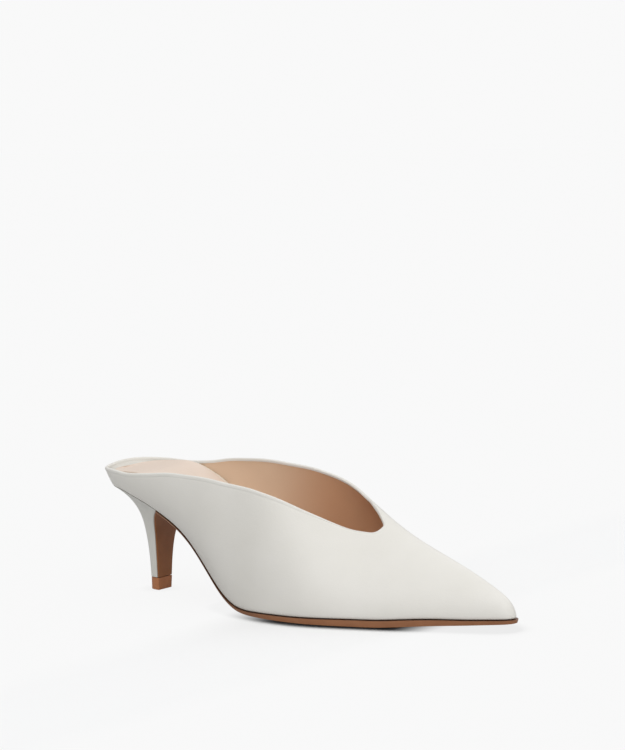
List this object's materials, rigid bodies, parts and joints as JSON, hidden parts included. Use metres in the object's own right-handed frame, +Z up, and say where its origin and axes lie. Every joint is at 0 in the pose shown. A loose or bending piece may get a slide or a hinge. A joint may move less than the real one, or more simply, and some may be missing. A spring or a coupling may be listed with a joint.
{
  "type": "mule shoe",
  "caption": "Right-foot pointed mule: smooth leather upper open behind the instep, V-shaped throat, padded footbed, thin leather sole and a slim covered kitten heel.",
  "frame": {"origin": "centre of the bounding box on the floor the shoe stands on", "axes": "+X from heel to toe, +Y to the inner (big-toe) side of the right foot, +Z up from the floor"},
  "size_m": [0.2604, 0.0796, 0.0733],
  "materials": {
    "upper": "smooth off-white leather with a soft sheen",
    "insole": "padded board wrapped in cream leather",
    "sock": "thin pale pink-beige leather, matt",
    "outsole": "brown leather with a darker burnished edge",
    "heel": "heel block covered in the upper's off-white leather",
    "heel_breast": "brown leather flap down the front of the heel",
    "top_piece": "tan-brown hard rubber, satin"
  },
  "bodies": {
    "root": {"upper": "upper", "insole": "insole", "sock": "sock", "outsole": "outsole", "heel": "heel", "heel_breast": "heel_breast", "top_piece": "top_piece"}
  },
  "joints": []
}
